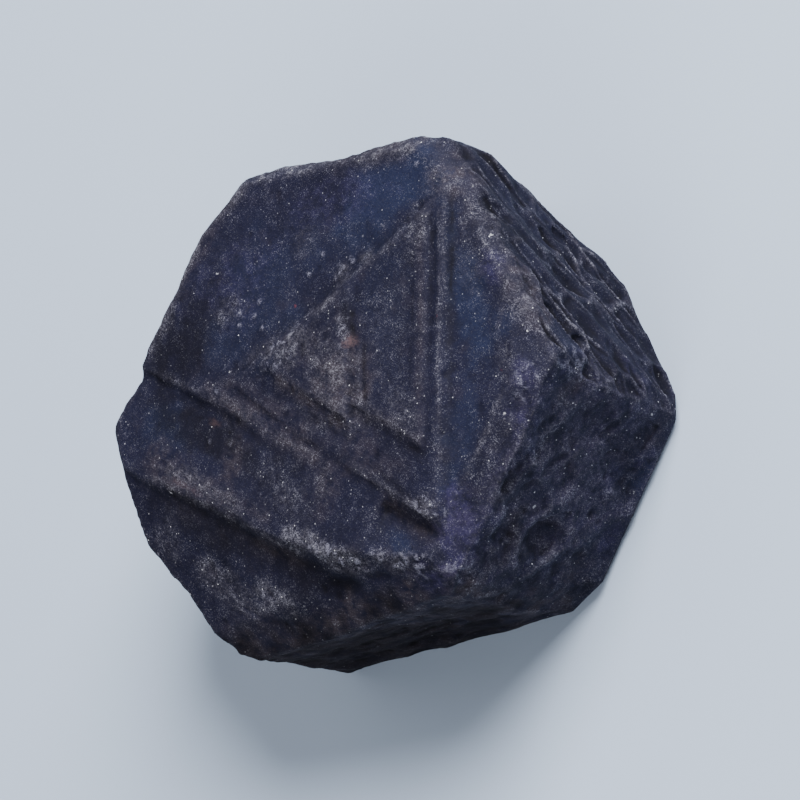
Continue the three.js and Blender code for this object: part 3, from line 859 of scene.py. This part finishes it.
def wearEdges(places, normals, broadNormals, edges, fade):
    # points that stand out sink back, more in some places than in others
    proud = standsOut(places, normals, edges, stoneShape["edgeRounds"]).clip(0)
    seed = stoneShape["seed"] + seedSteps["chips"]
    chipping = 1 + stoneShape["chipDepth"] * smoothNoise(places, stoneShape["chipSize"], seed)
    crisp = onSide(broadNormals, stoneShape["crispFacing"], cellLook["faceFade"])
    wear = proud * stoneShape["edgeWear"] * chipping * (1 - stoneShape["crispShare"] * crisp)
    places -= normals * wear[:, None] * fade


def shapeCrystal():
    piece = copyOfSolid("crystal")
    applyModifier(piece, "REMESH", mode="VOXEL", voxel_size=stoneShape["remeshSize"] * mm)
    applyModifier(piece, "SMOOTH", factor=0.5, iterations=1)
    mesh = piece.data
    print("remeshed to", len(mesh.vertices), "points")

    places = readPlaces(mesh)
    edges = readEdges(mesh)
    soften(places, edges)
    fade = easedStep(places[:, 2], *stoneShape["baseFade"])[:, None]
    addWander(places, fade)
    writePlaces(mesh, places)

    normals = readNormals(mesh)
    broadNormals = broadlySmoothed(normals, edges)
    addRelief(places, normals, broadNormals, fade)
    scatterPits(places, normals)
    writePlaces(mesh, places)

    wearEdges(places, readNormals(mesh), broadNormals, edges, fade)
    places[:, 2] = places[:, 2].clip(0)  # nothing reaches below the base
    writePlaces(mesh, places)
    print("surface shaped")

    triangles = sum(len(face.vertices) - 2 for face in mesh.polygons)
    if triangles > stoneShape["triangleLimit"]:
        applyModifier(piece, "DECIMATE", ratio=stoneShape["triangleLimit"] / triangles)
    print("crystal has", len(piece.data.polygons), "faces from", triangles, "triangles")
    return piece


def saveAttribute(mesh, name, values):
    attribute = mesh.attributes.new(name, "FLOAT", "POINT")
    attribute.data.foreach_set("value", values.astype(np.float32))


# worn edges stand out from the smoothed surface and hollows lie under it, first over short and
# then over long reaches: rounds of smoothing, and for each kind the height that counts in full
# (below zero: a depth) and its share
reliefMarks = {
    "rounds": (3, 20),
    "wear": ((0.04, 0.6), (0.2, 0.5)),
    "hollow": ((-0.04, 0.5), (-0.15, 0.7)),
}


def markSurface(piece):
    # what the material needs to know about each point
    mesh = piece.data
    places = readPlaces(mesh)
    normals = readNormals(mesh)
    edges = readEdges(mesh)
    seed = stoneShape["seed"]
    reliefs = [standsOut(places, normals, edges, rounds) for rounds in reliefMarks["rounds"]]
    # the hollow mark also darkens the colour in the material, as painted shade
    for kind in ("wear", "hollow"):
        values = np.zeros(len(places))
        for relief, (full, share) in zip(reliefs, reliefMarks[kind]):
            values += share * np.clip(relief / full, 0, 1)
        saveAttribute(mesh, kind, values)
    broadNormals = broadlySmoothed(normals, edges)
    marks = surfaceMarks(places, normals, broadNormals)[1]
    for number, (kind, kindPatches) in enumerate(patches.items()):
        if kind == "crumbs":
            values = crumbShare(places, normals)
        else:
            step = seedSteps["patches"] + 10 * number
            values = patchValue(places, kindPatches, seed + step)
        saveAttribute(mesh, kind, np.maximum(values, marks.get(kind, 0)))
    print("surface marked")


stoneColours = {
    "deep": colour(0.0042, 0.0042, 0.0115),
    "indigo": colour(0.0096, 0.0101, 0.0268),
    "blue": colour(0.0105, 0.0155, 0.042),
    "violet": colour(0.023, 0.019, 0.06),
    "brown": colour(0.0262, 0.0205, 0.0282),
    "dust": colour(0.047, 0.044, 0.056),
    "paleDust": colour(0.168, 0.166, 0.2),
    "crumb": colour(0.142, 0.141, 0.188),
    # painted glints: pale specks standing in for sparkle
    "glint": colour(0.6, 0.6, 0.64),
    "gold": colour(0.35, 0.27, 0.14),
    "rust": colour(0.1, 0.022, 0.03),
    "rustyCrumb": colour(0.064, 0.04, 0.045),
    # painted shade: the colour that hollows, creases and shadow marks are darkened towards
    "paintedShadeColour": colour(0.0028, 0.0024, 0.0034),
}

# painted glints (the bright specks) and coloured specks: how far apart their cells are, radius, and share
# of cells used
specks = {
    "fine": {"spacing": 0.42, "radius": 0.09, "share": 0.12},
    "bright": {"spacing": 0.8, "radius": 0.09, "share": 0.065},
    "flake": {"spacing": 2.4, "radius": 0.24, "share": 0.1},
    "gold": {"spacing": 1.9, "radius": 0.12, "share": 0.02},
    "rust": {"spacing": 2.6, "radius": 0.2, "share": 0.02},
}

speckShape = {
    "waves": 0.7,  # of the ragged outline, in each radius
    "waveReach": 2.2,  # this and the core are shares of the radius
    "core": 0.5,
    "dimmest": 0.25,
    "choiceFade": 0.02,  # how sharply the cells with a speck are told from the others
}


def speckMask(sheet, places, look):
    # ragged little specks in a random share of the cells, some brighter than others
    sockets = {"Vector": places, "Scale": speckShape["waves"] / look["radius"]}
    raggedness = sheet.add("ShaderNodeTexNoise", {}, sockets, "Color")
    bend = {"operation": "MULTIPLY_ADD"}
    sockets = {0: raggedness, 1: (speckShape["waveReach"] * look["radius"],) * 3, 2: places}
    bent = sheet.add("ShaderNodeVectorMath", bend, sockets)
    cells = sheet.add("ShaderNodeTexVoronoi", {}, {"Vector": bent, "Scale": 1 / look["spacing"]})
    cellColour = Wire(sheet, cells.socket.node.outputs["Color"])
    chosen = sheet.add("ShaderNodeSeparateColor", {}, {0: cellColour})
    brightness = Wire(sheet, chosen.socket.node.outputs[1])
    reach = look["radius"] / look["spacing"]
    dimmest = speckShape["dimmest"]
    spot = 1 - cells.eased(reach * speckShape["core"], reach)
    spot = spot * (dimmest + (1 - dimmest) * brightness)
    empty = 1 - look["share"]
    return spot * chosen.eased(empty, empty + speckShape["choiceFade"])


# the patterns in the stone, from broad clouds down to dust grains
patterns = {
    "clouds": {"size": 9.0, "detail": 4},
    "blots": {"size": 3.1, "detail": 4},
    "gatherings": {"size": 2.6, "detail": 2},  # where the specks lie thicker
    "mottle": {"size": 1.7, "detail": 6, "roughness": 0.7},
    "grain": {"size": 0.34, "detail": 3, "roughness": 0.75},
    "fineGrain": {"size": 0.13, "detail": 1, "roughness": 0.6},
}
streakShape = {"size": 0.45, "length": 7.0, "turn": math.radians(-26)}


def surfaceWires(sheet):
    # every mark and every pattern, by its name
    places = sheet.places()
    wires = {"places": places, "streaks": sheet.streaks(places, **streakShape)}
    for name in ("wear", "hollow", *patches):
        wires[name] = sheet.attribute(name)
    for name, look in patterns.items():
        wires[name] = sheet.noise(places, **look)
    return SimpleNamespace(**wires)


# the values of the noise between which each mask fades in
fades = {
    "shade": (0.24, 0.76),
    "violet": (0.35, 0.65),
    "blots": (0.56, 0.72),
    "brown": (0.36, 0.6),
    "thinDust": (0.45, 0.75),
    "gaps": (0.34, 0.5),
    "thickGrains": (0.6, 0.77),
    "thinGrains": (0.59, 0.76),
    "paleGrains": (0.4, 0.65),
    "crumbs": (0.4, 0.6),
    "rust": (0.36, 0.56),
    "gatherings": (0.4, 0.66),
    "flakes": (0.45, 0.55),
}

# what each pattern adds to the light and dark of the bare stone
shades = {"clouds": 0.4, "mottle": 0.35, "grain": 0.25}

# how strongly each mark covers the colour under it
coverage = {
    "blue": 0.3,  # before the mottle adds to it
    "brown": 0.9,
    "blots": 0.2,
    "dustFilm": 0.26,
    "gaps": 0.35,
    "dustyGaps": 0.4,  # what dust adds to the gaps
    "thickGrains": 0.6,
    "thinGrains": 0.75,
    "allGrains": 0.8,
    # painted shade in hollows and creases
    "hollow": 0.42,
    # painted shade from the shadow patches and lines
    "shadow": 0.85,
    "gold": 0.7,
    "rust": 0.5,
}


def bareTone(sheet, on):
    # the stone's own colour, with blue, violet and brown in it
    shade = on.clouds * shades["clouds"] + on.mottle * shades["mottle"] + on.grain * shades["grain"]
    tone = sheet.blend(shade.eased(*fades["shade"]), stoneColours["deep"], stoneColours["indigo"])
    bluish = on.blue * (coverage["blue"] + on.mottle)
    tone = sheet.blend(bluish.clamped(), tone, stoneColours["blue"])
    tinge = on.violet * on.mottle.eased(*fades["violet"])
    tone = sheet.blend(tinge.clamped(), tone, stoneColours["violet"])
    stain = on.brown * on.mottle.eased(*fades["brown"]) * coverage["brown"]
    stain = stain + on.blots.eased(*fades["blots"]) * coverage["blots"]
    return sheet.blend(stain.clamped(), tone, stoneColours["brown"])


# how thick the dust lies: in the patches, on worn edges, thinly all over, and less in hollows
dustLook = {
    "patches": 0.8,
    "wornEdges": 0.5,
    "allOver": 0.12,
    "lessInHollows": 0.3,
    "streaks": 0.3,
    "brownStreaks": 0.9,  # what brown stain and dust add to the streaks
    "dustStreaks": 0.5,
    "moreThickGrains": 0.15,  # how readily grains show where the dust is thick
    "moreThinGrains": 0.12,
}


def streakedDust(on):
    # above 0 in pale streaks, below 0 in dark ones
    streaking = dustLook["streaks"] + on.brown * dustLook["brownStreaks"]
    return (on.streaks - 0.5) * (streaking + on.dust * dustLook["dustStreaks"])


def dustCover(on, streaked):
    cover = on.dust * dustLook["patches"] + on.wear * dustLook["wornEdges"]
    cover = cover + on.mottle.eased(*fades["thinDust"]) * dustLook["allOver"]
    return cover - on.hollow * dustLook["lessInHollows"] + streaked


def dustedTone(sheet, on, cover, tone):
    # a film of dust with dark gaps in it, fine pale grains, crumbs, and painted shade in the hollows and
    # the shadow marks
    tone = sheet.blend((cover * coverage["dustFilm"]).clamped(), tone, stoneColours["dust"])
    gaps = 1 - on.grain.eased(*fades["gaps"])
    gaps = gaps * (coverage["gaps"] + coverage["dustyGaps"] * on.dust)
    tone = sheet.blend(gaps.clamped(), tone, stoneColours["deep"])

    thick = (on.grain + cover * dustLook["moreThickGrains"]).eased(*fades["thickGrains"])
    thin = (on.fineGrain + cover * dustLook["moreThinGrains"]).eased(*fades["thinGrains"])
    grains = thick * coverage["thickGrains"] + thin * coverage["thinGrains"]
    paleness = on.mottle.eased(*fades["paleGrains"])
    grainColour = sheet.blend(paleness, stoneColours["dust"], stoneColours["paleDust"])
    tone = sheet.blend(grains.clamped() * coverage["allGrains"], tone, grainColour)

    piled = on.crumbs * (on.grain * 0.5 + on.fineGrain * 0.5).eased(*fades["crumbs"])
    tone = sheet.blend(piled.clamped(), tone, stoneColours["crumb"])
    rusty = on.rust * on.grain.eased(*fades["rust"])
    tone = sheet.blend(rusty.clamped(), tone, stoneColours["rustyCrumb"])
    # painted shade in hollows and creases, and from the shadow patches and lines
    paintedShade = on.hollow * coverage["hollow"] + on.shadow * coverage["shadow"]
    return sheet.blend(paintedShade.clamped(), tone, stoneColours["paintedShadeColour"])


# how strongly the painted glints show away from the gatherings and in them, and how far painted shade
# dims them
glintLook = {
    "away": 0.06,
    "gathered": 1.4,
    "fineAway": 0.2,
    "fineGathered": 0.2,
    "shadowed": 0.75,
}


def glintMask(sheet, on):
    # painted glints: bright specks standing in for sparkle, which lie thicker in the dust and dim in the
    # painted shade
    gathered = on.gatherings.eased(*fades["gatherings"]) * glintLook["gathered"] + glintLook["away"]
    fineStrength = glintLook["fineAway"] + gathered * glintLook["fineGathered"] + on.dust
    glints = speckMask(sheet, on.places, specks["bright"]) * gathered
    glints = glints + speckMask(sheet, on.places, specks["fine"]) * fineStrength
    flakes = speckMask(sheet, on.places, specks["flake"]) * on.mottle.eased(*fades["flakes"])
    return (glints + flakes) * (1 - on.shadow * glintLook["shadowed"])


def speckledTone(sheet, on, glints, tone):
    # painted glints first, then gold and rust specks
    tone = sheet.blend(glints.clamped(), tone, stoneColours["glint"])
    for kind in ("gold", "rust"):
        mask = speckMask(sheet, on.places, specks[kind]) * coverage[kind]
        tone = sheet.blend(mask, tone, stoneColours[kind])
    return tone


finish = {
    "refraction": 1.6,
    "shine": 0.06,
    "bump": 0.9,
    # how rough the bare stone is, and what each mark adds to it
    "rough": {"stone": 0.6, "dust": 0.2, "shadow": 0.3, "mottle": 0.1, "glints": -0.3},
    # heights of the fine relief
    "heights": {
        "mottle": 0.06,
        "streaks": 0.1,
        "grain": 0.045,
        "dustyGrain": 0.07,  # what dust adds to the grain, then what wear adds
        "wornGrain": 0.03,
        "fineGrain": 0.015,
        "dustyFineGrain": 0.03,
    },
}


def stoneRoughness(on, cover, glints):
    rough = finish["rough"]
    roughness = rough["stone"] + cover * rough["dust"] + on.shadow * rough["shadow"]
    return roughness + on.mottle * rough["mottle"] + glints * rough["glints"]


def fineRelief(on, streaked):
    heights = finish["heights"]
    grain = heights["grain"] + heights["dustyGrain"] * on.dust + heights["wornGrain"] * on.wear
    fineGrain = heights["fineGrain"] + heights["dustyFineGrain"] * on.dust
    relief = on.mottle * heights["mottle"] + on.grain * grain
    return relief + on.fineGrain * fineGrain + streaked * heights["streaks"]


def sapphireMaterial():
    sheet = MaterialSheet("roughSapphire")
    on = surfaceWires(sheet)
    streaked = streakedDust(on)
    cover = dustCover(on, streaked)
    glints = glintMask(sheet, on)
    tone = bareTone(sheet, on)
    tone = dustedTone(sheet, on, cover, tone)
    tone = speckledTone(sheet, on, glints, tone)
    roughness = stoneRoughness(on, cover, glints)
    sockets = {"Strength": finish["bump"], "Distance": mm, "Height": fineRelief(on, streaked)}
    bump = sheet.add("ShaderNodeBump", {}, sockets)
    sheet.set({"Base Color": tone, "Roughness": roughness.clamped(), "Normal": bump})
    sheet.set({"IOR": finish["refraction"], "Specular IOR Level": finish["shine"]})
    print("material made")
    return sheet.material


addCamera()
addFloor()
addLights()
crystal = shapeCrystal()
markSurface(crystal)
crystal.data.materials.append(sapphireMaterial())
makeActive(crystal)
bpy.ops.object.shade_smooth()
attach(crystal, "root")
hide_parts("crystal")
print("crystal finished")
